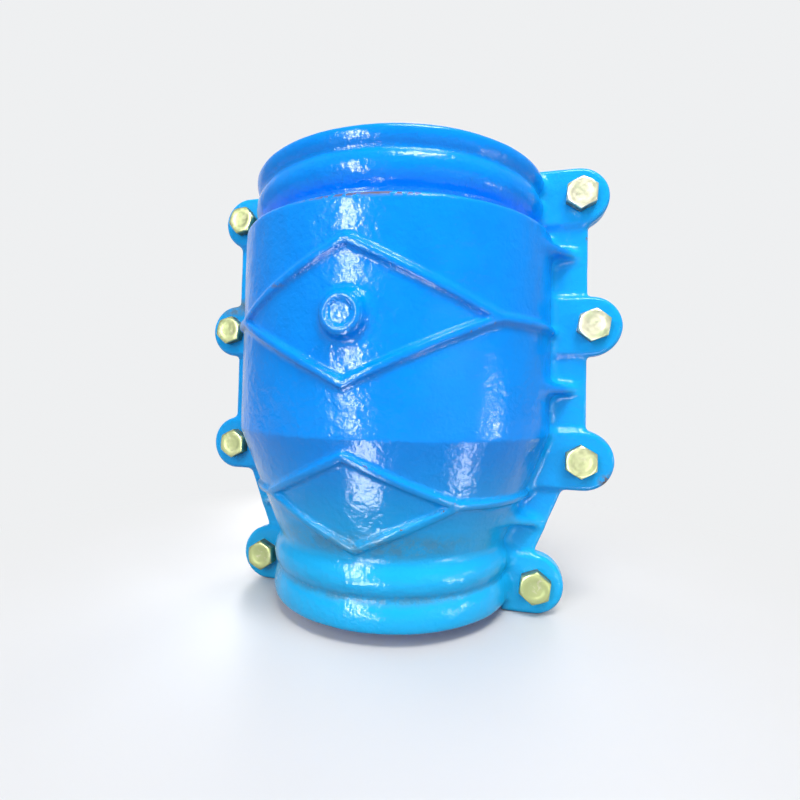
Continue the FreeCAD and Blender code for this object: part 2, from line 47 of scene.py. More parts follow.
# ---------------------------------------------------------------- outlines of the casting, in mm
# CASING is the body's outside and CORE its hollow with the seal rings' grooves, both turned round
# the pipe axis. FLANGE is the side flange and STRIP the groove of the seal's strip, both seen from
# the front; on the cone it runs into the hollow, where a lip between them would be too thin to
# mesh. BOSS is (from the boss's middle, depth). Depth is measured forwards from the split.
# A corner is (across, up) or (across, up, arc radius to the next corner, positive to the left).
CASING = (
    (0.0, 9.0), (88.5, 9.0, -3.5), (91.7, 12.15, -26.0), (89.4, 28.0, 2.2), (89.4, 31.4, -15.5),
    (89.6, 50.0, 8.0), (90.2, 58.0), (120.0, 132.0), (120.0, 274.0, -3.0), (117.0, 277.0),
    (109.5, 277.0, 2.5), (107.0, 279.5), (107.0, 283.0), (108.5, 285.0, -17.0),
    (111.4, 305.6, 2.2), (111.4, 309.0, -14.0), (113.7, 317.85, -3.5), (110.5, 321.0), (0.0, 321.0),
)
CORE = (
    (0.0, -9.0), (87.0, -9.0), (87.0, 9.0), (82.0, 9.0), (82.0, 15.0), (85.5, 15.0), (85.5, 39.0),
    (82.0, 39.0), (82.0, 59.05), (112.0, 133.55), (112.0, 269.0), (102.0, 273.0), (102.0, 291.0),
    (105.5, 291.0), (105.5, 315.0), (102.0, 315.0), (102.0, 321.0), (109.0, 321.0),
    (109.0, 339.0), (0.0, 339.0),
)
FLANGE = ((0.0, 22.0), (100.7, 22.0), (145.0, 132.0), (145.0, 299.0), (0.0, 299.0))
STRIP = (
    (80.5, 37.0), (80.5, 59.5), (110.5, 134.5), (114.3, 135.0), (114.3, 271.3), (102.5, 271.3),
    (102.5, 293.0), (105.9, 293.0), (105.9, 274.7), (117.7, 274.7), (117.7, 135.0), (85.9, 61.0),
    (85.9, 37.0),
)
BOSS = ((0.0, 100.0), (16.6, 119.0), (16.0, 120.0), (13.2, 126.5, 1.5), (11.7, 128.0), (8.7, 128.0),
        (7.7, 126.8), (0.0, 126.8))
BOSS_HEIGHT = 204.5
FLANGE_THICK, FLANGE_ROUND = 4.5, 2.2
STRIP_DEPTH = 3.1
# rows of ears: bolt's distance from the axis, its height, and the middle of the ear's round end
EARS = ((139.5, 308.0, 137.5), (148.5, 212.0, 147.0), (141.0, 114.0, 142.3), (110.5, 22.0, 108.7))
EAR_RADIUS, EAR_THICK, EAR_ROUND, HOLE_RADIUS = 22.0, 8.0, 3.6, 7.75
# webs: height, wall radius beside it, fall for each mm outwards
WEBS = ((264.5, 120.0, 0.0), (165.5, 120.0, 0.0), (72.0, 95.435, 0.33))
# half thickness at the front edge, growth of it inwards and how far it grows, rounding, and the
# depth that a web stays below
WEB_HALF, WEB_DRAFT, WEB_GROWS, WEB_ROUND, WEB_TOP = 3.1, 0.10, 24.0, 2.6, 43.0
# the front edge's root and nose, as (outwards from the wall, depth), how far the web goes on past
# the nose, and the rounding there
WEB_ROOT, WEB_NOSE, PAST_NOSE, NOSE_ROUND = (-5.2, 35.0), (16.5, 7.5), 2.0, 8.0
# raised lines: height of the diamond's middle, half width, half height, drop of its side lines
DIAMONDS = ((206.5, 88.0, 42.5, 0.0), (91.0, 64.5, 30.5, 3.0))
# half width, height over the wall, rounding, and how far out the side lines go
LINE_HALF, LINE_RISE, LINE_ROUND, LINE_END = 2.75, 3.0, 1.7, 122.0
# hollow roots where the pieces of the casting meet, and the broken edge of its hollow
LINE_MEETS, BOSS_MEETS, EAR_MEETS, WALL_MEETS, CORE_EDGE = 2.2, 3.5, 4.0, 7.0, 1.2
# farther than this from a line, the boss or a web's middle it changes nothing, so it isn't worked
# out there; the boss is only in front of BOSS_BACK
LINE_REACH, BOSS_REACH, WEB_REACH, BOSS_BACK = 12.0, 30.0, 26.0, 90.0


def with_arcs(corners, steps=7):
    """The outline's corners with each arc written out as short straight pieces."""
    places = [np.array(c[:2], float) for c in corners]
    out = []
    for number, corner in enumerate(corners):
        start, end = places[number], places[(number + 1) % len(corners)]
        out.append(start)
        if len(corner) == 3:
            radius, way = abs(corner[2]), end - start
            left = np.array((-way[1], way[0])) / np.hypot(*way) * math.copysign(1, corner[2])
            centre = (start + end) / 2 - left * math.sqrt(radius ** 2 - (way @ way) / 4)
            first = math.atan2(*(start - centre)[::-1])
            turn = (math.atan2(*(end - centre)[::-1]) - first + math.pi) % (2 * math.pi) - math.pi
            for step in range(1, steps):
                angle = first + turn * step / steps
                out.append(centre + radius * np.array((math.cos(angle), math.sin(angle))))
    return np.array(out)


def outline_distance(a, b, corners):
    """Distance of the points (a, b) to a closed outline, negative inside it."""
    nearest = np.full(a.shape, np.inf)
    inside = np.zeros(a.shape, bool)
    for start, end in zip(corners, np.roll(corners, -1, 0)):
        way = end - start
        da, db = a - start[0], b - start[1]
        along = np.clip((da * way[0] + db * way[1]) / (way @ way), 0, 1)
        nearest = np.minimum(nearest, (da - way[0] * along) ** 2 + (db - way[1] * along) ** 2)
        if way[1]:
            crosses = (b < start[1]) != (b < end[1])
            inside ^= crosses & (a < start[0] + way[0] * (b - start[1]) / way[1])
    return np.where(inside, -1, 1) * np.sqrt(nearest)


def slab(plan, depth, thick, soft):
    """Distance to a plan carried up to a thickness, its upper edge rounded."""
    side, top = plan + soft, depth - thick + soft
    outside = np.hypot(np.maximum(side, 0), np.maximum(top, 0))
    return np.minimum(np.maximum(side, top), 0) + outside - soft


def join(f, g, soft):
    """The two solids together, with a hollow root of about the given radius between them."""
    near = np.maximum(soft - np.abs(f - g), 0) / soft
    return np.minimum(f, g) - near * near * soft / 4


def carve(f, g, soft):
    """The first solid without the second, the edge between them broken by the given radius."""
    return -join(-f, g, soft)


CASING, CORE, FLANGE, STRIP, BOSS = (with_arcs(c) for c in (CASING, CORE, FLANGE, STRIP, BOSS))


def segment_distance(a, b, start, end):
    """Distance of the points (a, b) to the straight piece from start to end."""
    way = np.subtract(end, start)
    along = np.clip(((a - start[0]) * way[0] + (b - start[1]) * way[1]) / (way @ way), 0, 1)
    return np.hypot(a - start[0] - way[0] * along, b - start[1] - way[1] * along)


def casting_distance(p):
    """Signed distance of points to the front casting, symmetric about the pipe axis."""
    across, depth, up = np.abs(p[:, 0]), -p[:, 1], p[:, 2]
    radius = np.hypot(p[:, 0], p[:, 1])
    solid = outline_distance(radius, up, CASING)

    lines = np.full(across.shape, np.inf)
    for height, half_width, half_height, drop in DIAMONDS:
        side = (half_width, height)
        for tip in (height + half_height, height - half_height):
            lines = np.minimum(lines, segment_distance(across, up, (0, tip), side))
        lines = np.minimum(lines, segment_distance(across, up, side, (LINE_END, height - drop)))
    near = (lines < LINE_REACH) & (np.abs(solid) < LINE_REACH)
    ridge = slab(lines[near] - LINE_HALF, solid[near], LINE_RISE, LINE_ROUND)
    solid[near] = join(solid[near], ridge, LINE_MEETS)

    from_boss = np.hypot(p[:, 0], up - BOSS_HEIGHT)
    near = (from_boss < BOSS_REACH) & (depth > BOSS_BACK)
    boss = outline_distance(from_boss[near], depth[near], BOSS)
    solid[near] = join(solid[near], boss, BOSS_MEETS)

    plates = slab(outline_distance(across, up, FLANGE), depth, FLANGE_THICK, FLANGE_ROUND)
    for _, height, centre in EARS:
        bar = segment_distance(across, up, (0, height), (centre, height)) - EAR_RADIUS
        plates = join(plates, slab(bar, depth, EAR_THICK, EAR_ROUND), EAR_MEETS)
    solid = join(solid, plates, WALL_MEETS)

    edge = np.subtract(WEB_NOSE, WEB_ROOT)
    normal = np.array((-edge[1], edge[0])) / np.hypot(*edge)
    for height, wall, fall in WEBS:
        level = up - height + fall * (across - wall)
        near = np.abs(level) < WEB_REACH
        out = across[near] - wall
        front = normal[0] * (out - WEB_NOSE[0]) + normal[1] * (depth[near] - WEB_NOSE[1])
        outer = WEB_NOSE[0] + PAST_NOSE - out
        inward = np.maximum(-join(-front, outer, NOSE_ROUND), depth[near] - WEB_TOP)
        thick = WEB_HALF + WEB_DRAFT * np.clip(-inward, 0, WEB_GROWS)
        web = slab(inward, np.abs(level[near]), thick, WEB_ROUND) / math.hypot(1, WEB_DRAFT)
        solid[near] = join(solid[near], web, WALL_MEETS)

    solid = carve(solid, outline_distance(radius, up, CORE), CORE_EDGE)
    slot = np.maximum(outline_distance(across, up, STRIP), depth - STRIP_DEPTH)
    solid = np.maximum(solid, -slot)
    for reach, height, _ in EARS:
        solid = np.maximum(solid, HOLE_RADIUS - np.hypot(across - reach, up - height))
    return np.maximum(solid, -depth)


def gradient(p, f, step=0.15):
    """The steepest way out of the casting at each point, where its distance is f."""
    return np.stack([(casting_distance(p + step * axis) - f) / step for axis in np.eye(3)], 1)


def grid_surface(low, high, cell):
    """A closed mesh round the front casting, from a grid of cells over its right half, mirrored."""
    # the distance is worked out once for each block of cells, then at every corner near the surface
    many = 4
    axes = [np.arange(a, b + many * cell, cell) for a, b in zip(low, high)]
    axes = [axis[:len(axis) // many * many] for axis in axes]
    coarse = np.stack(np.meshgrid(*(axis[many // 2::many] for axis in axes), indexing="ij"), -1)
    field = casting_distance(coarse.reshape(-1, 3)).reshape(coarse.shape[:3])
    for axis in range(3):
        field = field.repeat(many, axis)
    near = np.nonzero(np.abs(field) < many * cell)
    field[near] = casting_distance(np.stack([axes[n][near[n]] for n in range(3)], 1))
    field = np.concatenate((field[::-1], field))
    axes[0] = np.concatenate((-axes[0][::-1], axes[0]))

    # one vertex in each cell that the surface crosses, at the middle of its crossings
    inside = field < 0
    steps = [(a, b, c) for a in (0, 1) for b in (0, 1) for c in (0, 1)]
    shape = np.array(field.shape) - 1
    part = [tuple(slice(s, s + n) for s, n in zip(step, shape)) for step in steps]
    total = sum(inside[p].astype(np.int8) for p in part)
    cells = np.stack(np.nonzero((total > 0) & (total < 8)), 1)
    crossings, count = np.zeros(cells.shape), np.zeros(len(cells))
    for first in steps:
        for axis in range(3):
            if first[axis]:
                continue
            here = cells + first
            there = here + np.eye(3, dtype=int)[axis]
            f, g = field[tuple(here.T)], field[tuple(there.T)]
            cross = (f < 0) != (g < 0)
            spot = np.stack([axes[n][here[:, n]] for n in range(3)], 1)
            share = np.where(cross, f / np.where(cross, f - g, 1), 0)
            spot[:, axis] += share * (axes[axis][there[:, axis]] - spot[:, axis])
            crossings += spot * cross[:, None]
            count += cross
    number = np.full(shape, -1)
    number[tuple(cells.T)] = np.arange(len(cells))

    # one quad round each grid line that the surface crosses
    quads = []
    for axis in range(3):
        other, third = (axis + 1) % 3, (axis + 2) % 3
        here = [slice(1, n) for n in shape]
        here[axis] = slice(0, shape[axis])
        there = list(here)
        there[axis] = slice(1, shape[axis] + 1)
        leaving = inside[tuple(here)]
        lines = np.stack(np.nonzero(leaving != inside[tuple(there)]), 1)
        out = leaving[tuple(lines.T)]
        lines += [0 if n == axis else 1 for n in range(3)]
        ring = []
        for back_other, back_third in ((0, 0), (1, 0), (1, 1), (0, 1)):
            at = lines.copy()
            at[:, other] -= back_other
            at[:, third] -= back_third
            ring.append(number[tuple(at.T)])
        ring = np.stack(ring, 1)
        ring[~out] = ring[~out][:, ::-1]
        quads.append(ring)
    return crossings / count[:, None], np.concatenate(quads)


def cast_shell():
    """The front casting's surface: a fine grid mesh drawn on to the blended surface."""
    cell, least_slope, longest_step = 1.4, 0.3, 1.0
    p, quads = grid_surface((cell / 2, -131.0, -2.6), (171.0, 3.0, 333.0), cell)
    for _ in range(3):
        f = casting_distance(p)
        g = gradient(p, f)
        slope = np.maximum((g * g).sum(1), least_slope)
        p -= g * np.clip(f / slope, -longest_step, longest_step)[:, None]
    p[:, 1] = np.minimum(p[:, 1], 0)
    mesh = bpy.data.meshes.new("casting_surface")
    mesh.vertices.add(len(p))
    mesh.vertices.foreach_set("co", (p * MM).astype(np.float32).ravel())
    mesh.loops.add(quads.size)
    mesh.loops.foreach_set("vertex_index", quads.astype(np.int32).ravel())
    mesh.polygons.add(len(quads))
    mesh.polygons.foreach_set("loop_start", np.arange(0, quads.size, 4, dtype=np.int32))
    mesh.update(calc_edges=True)
    mesh.validate()
    return mesh


# bare rusty places on the casting: middle, size and strength, in mm
RUST = (
    (159.6, -5.0, 100.3, (5.5, 5.0, 4.0), 1.0),
    (157.5, -4.0, 130.0, (7.0, 2.0, 4.0), 0.8),
    (26.0, -119.0, 275.2, (52.0, 8.0, 1.05), 0.9),
    (-50.0, -111.0, 225.0, (5.0, 5.0, 1.2), 0.6),
)
# greyish dust on the casting, in the same way
GRIME = (
    (-99.0, -68.0, 190.0, (9.0, 14.0, 66.0), 0.36),
    (-84.0, -62.0, 95.0, (9.0, 13.0, 28.0), 0.36),
    (-72.0, -54.0, 30.0, (7.0, 12.0, 14.0), 0.32),
    (-147.0, -8.0, 233.0, (16.0, 8.0, 6.0), 1.0),
    (20.0, -95.0, 64.0, (70.0, 30.0, 7.0), 0.50),
    (20.0, -92.0, 30.0, (80.0, 40.0, 3.0), 0.45),
)


def waves(p, size, seed):
    """Soft random unevenness between about -1 and 1, with features of the given size in mm."""
    shift = Vector((seed * 17.3, seed * 5.1, seed * 9.7))
    return np.array([noise.noise(Vector(q) / size + shift) for q in p])


def bend(p, normal):
    """How sharply the surface bends at each point: above zero on edges, below zero in roots."""
    aside = np.cross(normal, (0.31, 0.52, 0.79))
    aside /= np.linalg.norm(aside, axis=1)[:, None]
    other = np.cross(normal, aside)
    ways, step = (aside, -aside, other, -other), 1.5
    return sum(casting_distance(p + step * way) for way in ways) - len(ways) * casting_distance(p)


def read(mesh, what):
    """The places ("co") or normals ("normal") of a mesh's vertices, a row for each."""
    rows = np.empty(len(mesh.vertices) * 3, np.float32)
    mesh.vertices.foreach_get(what, rows)
    return rows.reshape(-1, 3).astype(float)


def mark(mesh, name, shares):
    """A named value for each vertex, which the coating reads."""
    values = mesh.attributes.new(name, "FLOAT", "POINT")
    values.data.foreach_set("value", shares.astype(np.float32))


def finish_shell(mesh):
    """Adds the casting's unevenness, thins the mesh, and marks worn edges and hollow roots."""
    triangles, front, sharp_from = 188000, 128.0, 62
    off_split, off_core, flat_below, sharpest = 0.6, 1.5, 0.45, 1.6
    chamber_foot, chamber_top, off_slot = 62, 268, 2.0
    rim_off_core, rim_depth, spot_reach = 2.5, 2.2, 1.6
    p, normal = read(mesh, "co") / MM, read(mesh, "normal")
    # The lumps are sunk a little, so that they stay inside the CAD's box.
    lumps = 0.16 * waves(p, 17.0, 1) + 0.07 * waves(p, 7.0, 2) - 0.12
    radius = np.hypot(p[:, 0], p[:, 1])
    free = (p[:, 1] < -off_split) & (outline_distance(radius, p[:, 2], CORE) > off_core)
    p += normal * (lumps * free)[:, None]
    p[:, 1] = np.clip(p[:, 1], -front, 0)
    mesh.vertices.foreach_set("co", (p * MM).astype(np.float32).ravel())
    piece = bpy.data.objects.new("thinned", mesh)
    bpy.context.scene.collection.objects.link(piece)
    # The plain wall of the chamber is thinned most, and tight curves not at all.
    plain = np.abs(bend(p, normal)) < flat_below
    hidden = plain & (outline_distance(radius, p[:, 2], CORE) < off_core) & (p[:, 1] < -off_slot)
    hidden &= (p[:, 2] > chamber_foot) & (p[:, 2] < chamber_top)
    group = piece.vertex_groups.new(name="thin")
    group.add(np.flatnonzero(plain & ~hidden).tolist(), 0.35, "REPLACE")
    group.add(np.flatnonzero(hidden).tolist(), 1.0, "REPLACE")
    thin = piece.modifiers.new("thin", "DECIMATE")
    thin.vertex_group, thin.vertex_group_factor = "thin", 1.0
    thin.ratio = triangles / (2 * len(mesh.polygons))
    graph = bpy.context.evaluated_depsgraph_get()
    mesh = bpy.data.meshes.new_from_object(piece.evaluated_get(graph))
    bpy.data.objects.remove(piece)

    p, normal = read(mesh, "co") / MM, read(mesh, "normal")
    bends = bend(p, normal) / sharpest
    mark(mesh, "edge", np.clip(bends, 0, 1))
    mark(mesh, "root", np.clip(-bends, 0, 1))
    outer = outline_distance(np.hypot(p[:, 0], p[:, 1]), p[:, 2], CORE) > rim_off_core
    mark(mesh, "rim", np.clip(1.0 + p[:, 1] / rim_depth, 0, 1) * outer)
    for name, places in (("rust", RUST), ("grime", GRIME)):
        spots = np.zeros(len(p))
        for x, y, z, size, strength in places:
            away = np.linalg.norm((p - (x, y, z)) / size, axis=1)
            spots = np.maximum(spots, strength * np.clip(spot_reach - away, 0, 1))
        mark(mesh, name, spots)
    mesh.polygons.foreach_set("use_smooth", np.ones(len(mesh.polygons), bool))
    mesh.set_sharp_from_angle(angle=math.radians(sharp_from))
    return mesh


# ---------------------------------------------------------------- materials
class Finish:
    """A material with its shader and short ways to add nodes to it."""

    def __init__(self, name, **sockets):
        self.material = bpy.data.materials.new(name)
        self.material.use_nodes = True
        self.tree = self.material.node_tree
        self.shader = self.tree.nodes["Principled BSDF"]
        for socket, setting in sockets.items():
            self.shader.inputs[socket.replace("_", " ")].default_value = setting
        self.where = self.tree.nodes.new("ShaderNodeTexCoord").outputs["Object"]

    def link(self, source, target):
        """Feeds a socket from a node's output or with a plain number or colour."""
        if isinstance(source, (int, float, tuple)):
            target.default_value = source
        else:
            self.tree.links.new(source, target)

    def noise(self, scale, detail=2.0, rough=0.5, warp=0.0):
        node = self.tree.nodes.new("ShaderNodeTexNoise")
        node.inputs["Scale"].default_value = scale
        node.inputs["Detail"].default_value = detail
        node.inputs["Roughness"].default_value = rough
        node.inputs["Distortion"].default_value = warp
        self.link(self.where, node.inputs["Vector"])
        return node.outputs["Fac"]

    def fit(self, source, low, high, to_low=0.0, to_high=1.0):
        """Carries the range from low to high softly over to another range."""
        node = self.tree.nodes.new("ShaderNodeMapRange")
        node.interpolation_type = "SMOOTHSTEP"
        for socket, setting in zip(("Value", "From Min", "From Max", "To Min", "To Max"),
                                   (source, low, high, to_low, to_high)):
            self.link(setting, node.inputs[socket])
        return node.outputs["Result"]

    def math(self, operation, a, b=0.0):
        node = self.tree.nodes.new("ShaderNodeMath")
        node.operation = operation
        node.use_clamp = operation == "ADD"
        self.link(a, node.inputs[0])
        self.link(b, node.inputs[1])
        return node.outputs[0]

    def mix(self, share, a, b):
        node = self.tree.nodes.new("ShaderNodeMix")
        node.data_type = "RGBA"
        self.link(share, node.inputs["Factor"])
        self.link(a, node.inputs[6])
        self.link(b, node.inputs[7])
        return node.outputs[2]

    def attribute(self, name):
        node = self.tree.nodes.new("ShaderNodeAttribute")
        node.attribute_name = name
        return node.outputs["Fac"]

    def along(self, axis):
        """The place along an axis of the part, in metres."""
        node = self.tree.nodes.new("ShaderNodeSeparateXYZ")
        self.link(self.where, node.inputs[0])
        return node.outputs[axis]

    def bump(self, *layers):
        """Layers are (height, strength, depth in metres), the coarsest first."""
        below = None
        for source, strength, depth in layers:
            node = self.tree.nodes.new("ShaderNodeBump")
            node.inputs["Strength"].default_value = strength
            node.inputs["Distance"].default_value = depth
            self.link(source, node.inputs["Height"])
            if below:
                self.link(below, node.inputs["Normal"])
            below = node.outputs["Normal"]
        self.link(below, self.shader.inputs["Normal"])

    def set(self, **sockets):
        for socket, source in sockets.items():
            self.link(source, self.shader.inputs[socket.replace("_", " ")])


def blue_coating():
    f = Finish("blue_coating", Specular_IOR_Level=0.24)
    blue, deep, pale = (0.0, 0.28, 0.92, 1), (0.0, 0.24, 0.84, 1), (0.010, 0.46, 0.91, 1)
    rust, root_dust_and_shade, soil = (0.15, 0.085, 0.045, 1), (0.06, 0.22, 0.42, 1), (0.12, 0.16, 0.15, 1)
    # the coating's colour, patchy at random, paler towards the foot as a painted reflection of the
    # pale floor, and paler on the flanges and ears as painted light
    colour = f.mix(f.fit(f.noise(38, 4, 0.6), 0.42, 0.72, 0.0, 0.5), blue, deep)
    foot = f.fit(f.along("Z"), 0.135, 0.05, 0.0, 1.0)
    plates = f.fit(f.math("ABSOLUTE", f.along("Y")), 0.020, 0.010, 0.0, 0.65)
    colour = f.mix(f.math("MAXIMUM", foot, plates), colour, pale)
    # darker blue-grey in the roots, partly dust and partly painted shade, and dust on the marked
    # places
    root_dust_and_shade_share = f.fit(f.noise(90, 4, 0.7), 0.45, 0.7, 0.0, 0.25)
    colour = f.mix(f.math("MULTIPLY", f.attribute("root"), root_dust_and_shade_share), colour, root_dust_and_shade)
    grimy = f.fit(f.noise(120, 5, 0.7), 0.34, 0.62, 0.25, 1.0)
    grimy = f.math("MULTIPLY", f.attribute("grime"), grimy)
    colour = f.mix(grimy, colour, soil)
    # chips on edges and along the split, and the marked rusty places
    speck = f.fit(f.noise(170, 5, 0.7), 0.56, 0.64)
    worn = f.fit(f.attribute("edge"), 0.3, 0.7)
    worn = f.math("MULTIPLY", f.fit(f.noise(26, 3, 0.6), 0.52, 0.62), worn)
    rim = f.math("MULTIPLY", f.fit(f.noise(31, 3, 0.6), 0.50, 0.64), f.attribute("rim"))
    rim = f.math("MULTIPLY", f.fit(speck, 0.0, 1.0, 0.15, 0.9), rim)
    chips = f.math("ADD", f.math("MULTIPLY", speck, worn), rim)
    rusty = f.math("MULTIPLY", f.attribute("rust"), f.fit(f.noise(240, 4, 0.6), 0.43, 0.49))
    chips = f.math("ADD", chips, rusty)
    colour = f.mix(chips, colour, rust)
    rough = f.math("ADD", f.math("MULTIPLY", chips, 0.5), f.math("MULTIPLY", grimy, 0.35))
    gloss = f.fit(f.noise(55, 5, 0.6), 0.3, 0.75, 0.10, 0.22)
    f.set(Base_Color=colour, Roughness=f.math("ADD", gloss, rough))
    f.bump((f.noise(95, 2, 0.5, 0.4), 1.0, 0.00065), (f.noise(330, 2, 0.5, 0.4), 1.0, 0.00030),
           (f.math("MULTIPLY", f.attribute("root"), f.noise(280, 3, 0.6)), 1.0, 0.0010),
           (f.math("MULTIPLY", chips, -1.0), 0.6, 0.0004))
    return f.material


def yellow_zinc():
    f = Finish("yellow_zinc", Metallic=0.62, Specular_IOR_Level=0.6)
    straw, olive, rose = (0.80, 0.77, 0.54, 1), (0.62, 0.69, 0.40, 1), (0.82, 0.72, 0.58, 1)
    colour = f.mix(f.fit(f.noise(75, 3, 0.6, 1.2), 0.38, 0.66), straw, olive)
    # darker and more olive low down and on the left
    low_and_left = f.math("MAXIMUM", f.fit(f.along("Z"), 0.22, 0.06, 0.0, 0.95),
                  f.fit(f.along("X"), 0.0, -0.1, 0.0, 0.8))
    colour = f.mix(low_and_left, colour, (0.44, 0.49, 0.20, 1))
    colour = f.mix(f.fit(f.noise(160, 3, 0.6, 1.0), 0.56, 0.78, 0.0, 0.6), colour, rose)
    # painted shade and painted reflection: a dark ring round the foot of each head, for its contact
    # shadow and the dark below that its sides mirror
    foot = f.along("Y")
    foot_shade = f.math("MULTIPLY", f.fit(foot, -0.0160, -0.0125), f.fit(foot, -0.0050, -0.0078))
    colour = f.mix(f.math("MULTIPLY", foot_shade, f.fit(f.noise(210, 3, 0.6), 0.3, 0.7, 0.6, 0.95)),
                   colour, (0.10, 0.095, 0.05, 1))
    f.set(Base_Color=colour, Roughness=f.fit(f.noise(320, 4, 0.6), 0.3, 0.7, 0.28, 0.44))
    f.bump((f.noise(300, 2, 0.5), 0.35, 0.00010), (f.noise(2600, 2, 0.5), 0.2, 0.00002))
    return f.material


def black_rubber():
    f = Finish("black_rubber", Specular_IOR_Level=0.35)
    black, dull = (0.018, 0.018, 0.02, 1), (0.045, 0.044, 0.043, 1)
    colour = f.mix(f.fit(f.noise(60, 4, 0.6), 0.4, 0.75), black, dull)
    f.set(Base_Color=colour, Roughness=f.fit(f.noise(240, 3, 0.6), 0.3, 0.7, 0.55, 0.75))
    f.bump((f.noise(900, 3, 0.6), 0.3, 0.00015))
    return f.material


coating, zinc, rubber = blue_coating(), yellow_zinc(), black_rubber()


def place(name, mesh, body, node, material):
    """A finished piece that stands for one CAD node."""
    piece = bpy.data.objects.new(name, mesh)
    bpy.context.scene.collection.objects.link(piece)
    mesh.materials.clear()
    mesh.materials.append(material)
    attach(piece, body)
    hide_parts(node)


# ---------------------------------------------------------------- fasteners
# Each is a stack of rings round its own axis: a height along it and a radius for every angle.
# Lengths in mm; the foot of a bolt's head, a washer's front and a nut's front are at 0.
ANGLES = np.linspace(0, 2 * math.pi, 96, endpoint=False)
# how far each head is turned in the photo, in degrees
HEAD_TURNS = {"top_right": 4, "upper_right": 9, "lower_right": 0, "bottom_right": 8,
              "top_left": 22, "upper_left": 12, "lower_left": 3, "bottom_left": -4}
# half the wrench size, thread radius and pitch; a radius that leaves a hexagon's corners whole
FLAT, THREAD, PITCH, WHOLE = 10.5, 7.0, 2.0, 14.0
# heights of head, shank, nut and washer; what keeps a nut's face off its washer's
HEAD, LENGTH, NUT, WASHER, APART = 8.8, 50.0, 11.0, 2.5, 0.02
# the radii where the flat of an end face stops, and the steps of the chamfer below it
FACE_RIM = (9.2, 9.6)
STEPS = (0.15, 0.35, 0.6, 0.9, 1.2, 1.5, 1.8, 2.2)


def hexagon(limit):
    """A hexagon's radius at every angle, its corners eased, inside a limiting radius."""
    corner = (ANGLES % (math.pi / 3)) - math.pi / 6
    return join(FLAT / np.cos(corner), limit, 0.7)


def ring_stack(name, rings, closed):
    """A mesh from rings of (height, radii), joined in a loop or capped at both ends."""
    count = len(ANGLES)
    across, up = np.sin(ANGLES), np.cos(ANGLES)
    points = np.concatenate([
        np.stack((np.broadcast_to(radii, ANGLES.shape) * across, np.full(count, float(height)),
                  np.broadcast_to(radii, ANGLES.shape) * up), 1) for height, radii in rings])
    faces = []
    for ring in range(len(rings) if closed else len(rings) - 1):
        here, there = ring * count, (ring + 1) % len(rings) * count
        faces += [(here + n, here + (n + 1) % count, there + (n + 1) % count, there + n)
                  for n in range(count)]
    if not closed:
        last = (len(rings) - 1) * count
        faces += [tuple(range(count))[::-1], tuple(range(last, last + count))]
    mesh = bpy.data.meshes.new(name)
    mesh.from_pydata((points * MM).tolist(), [], faces)
    mesh.update()
    mesh.polygons.foreach_set("use_smooth", np.ones(len(faces), bool))
    mesh.set_sharp_from_angle(angle=math.radians(50))
    return mesh


def chamfered(height, face):
    """The hexagon's ring at a height, turned off at 30 degrees towards the given end face."""
    slope = math.tan(math.radians(30))
    return height, hexagon(min(WHOLE, FLAT - 0.6 + abs(face - height) / slope))


def bolt_mesh(name):
    """Head with an eased, chamfered and slightly dished face, and a threaded shank."""
    rings = [(-HEAD + 0.35, 0.05), (-HEAD + 0.32, 4.8), (-HEAD + 0.22, 5.8), (-HEAD + 0.03, 6.9),
             (-HEAD, 7.6), (-HEAD, FACE_RIM[0]), (-HEAD + 0.05, FACE_RIM[1])]
    rings += [chamfered(-HEAD + step, -HEAD) for step in (*STEPS, 3.0, 5.0)]
    rings += [(-0.6, hexagon(WHOLE)), (-0.15, hexagon(WHOLE) - 0.12), (0.0, hexagon(WHOLE) - 0.5),
              (0.0, 7.6), (0.15, THREAD)]
    cut, plain, runs_out, tip = 1.15, 5.0, 1.5, 1.4
    for height in np.arange(0.8, LENGTH - 0.2, PITCH / 6):
        turn = (height / PITCH - ANGLES / (2 * math.pi)) % 1.0
        depth = np.clip(np.abs(turn - 0.5) * 2.9 - 0.25, 0, 1) * cut
        fade = np.clip((height - plain) / runs_out, 0, 1)
        rings.append((height, np.minimum(THREAD - depth * fade, LENGTH - height + THREAD - tip)))
    rings.append((LENGTH, THREAD - 1.6))
    return ring_stack(name, rings, False)


def nut_mesh(name):
    """Hexagon nut, chamfered on both faces, its bore eased."""
    bore, ease, steps = THREAD + 0.05, 0.8, (*STEPS, 3.5)
    rings = [(ease, bore), (0.0, bore + ease), (0.0, FACE_RIM[0]), (0.05, FACE_RIM[1])]
    rings += [chamfered(step, 0) for step in steps]
    rings += [chamfered(NUT - step, NUT) for step in reversed(steps)]
    rings += [(NUT - 0.05, FACE_RIM[1]), (NUT, FACE_RIM[0]), (NUT, bore + ease), (NUT - ease, bore)]
    return ring_stack(name, rings, True)


def washer_mesh(name):
    """Stamped washer with eased edges."""
    outer, inner, ease = 14.0, THREAD + 0.5, 0.35
    return ring_stack(name, [
        (0.0, inner), (0.0, outer - ease), (ease * 0.3, outer - ease * 0.3), (ease, outer),
        (WASHER - ease, outer), (WASHER - ease * 0.3, outer - ease * 0.3), (WASHER, outer - ease),
        (WASHER, inner)], True)


def fasten():
    """A bolt, washer and nut in every ear."""
    for row, (reach, height, _) in zip(("top", "upper", "lower", "bottom"), EARS):
        for side, sign in (("right", 1), ("left", -1)):
            spot = f"{row}_{side}"
            turned = HEAD_TURNS[spot]
            for kind, make, depth, turn, body in (
                    ("bolt", bolt_mesh, -EAR_THICK, turned, f"bolt_{spot}_body"),
                    ("washer", washer_mesh, EAR_THICK, 0, "rear_half"),
                    ("nut", nut_mesh, EAR_THICK + WASHER + APART, -turned, f"nut_{spot}_body")):
                mesh = make(f"zinc_{kind}_{spot}")
                mesh.transform(Matrix.Translation(Vector((sign * reach, depth, height)) * MM)
                               @ Matrix.Rotation(math.radians(turn), 4, "Y"))
                place(f"zinc_{kind}_{spot}", mesh, body, f"{kind}_{spot}", zinc)


